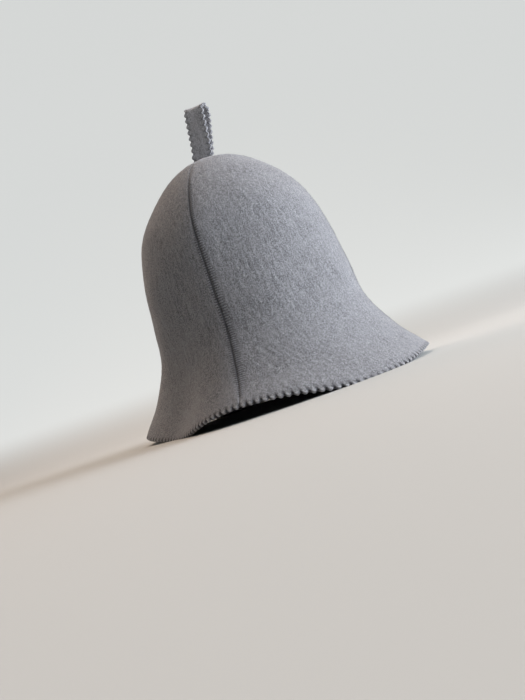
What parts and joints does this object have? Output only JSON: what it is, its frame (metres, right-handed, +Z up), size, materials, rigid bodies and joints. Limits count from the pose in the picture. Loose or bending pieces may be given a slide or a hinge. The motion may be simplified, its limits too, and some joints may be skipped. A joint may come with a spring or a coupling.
{
  "type": "sauna hat",
  "caption": "Bell-shaped felt sauna hat sewn from shaped panels, with a flared wave-cut hem and a folded hang loop on the crown.",
  "frame": {"origin": "on the floor, in the middle of the space that the hat takes up", "axes": "+Z up from the hem to the hang loop, -Y towards the front seam, +X towards the right seam as the viewer sees it from the front"},
  "size_m": [0.2956, 0.2727, 0.3069],
  "materials": {
    "felt": "matt grey melange wool felt, 3 mm",
    "label_cloth": "blank off-white woven label",
    "thread": "dark grey sewing thread"
  },
  "bodies": {
    "root": {"panel_front_left": "felt", "panel_front_right": "felt", "panel_back_right": "felt", "panel_back_left": "felt", "hang_loop": "felt", "label": "label_cloth"}
  },
  "joints": []
}
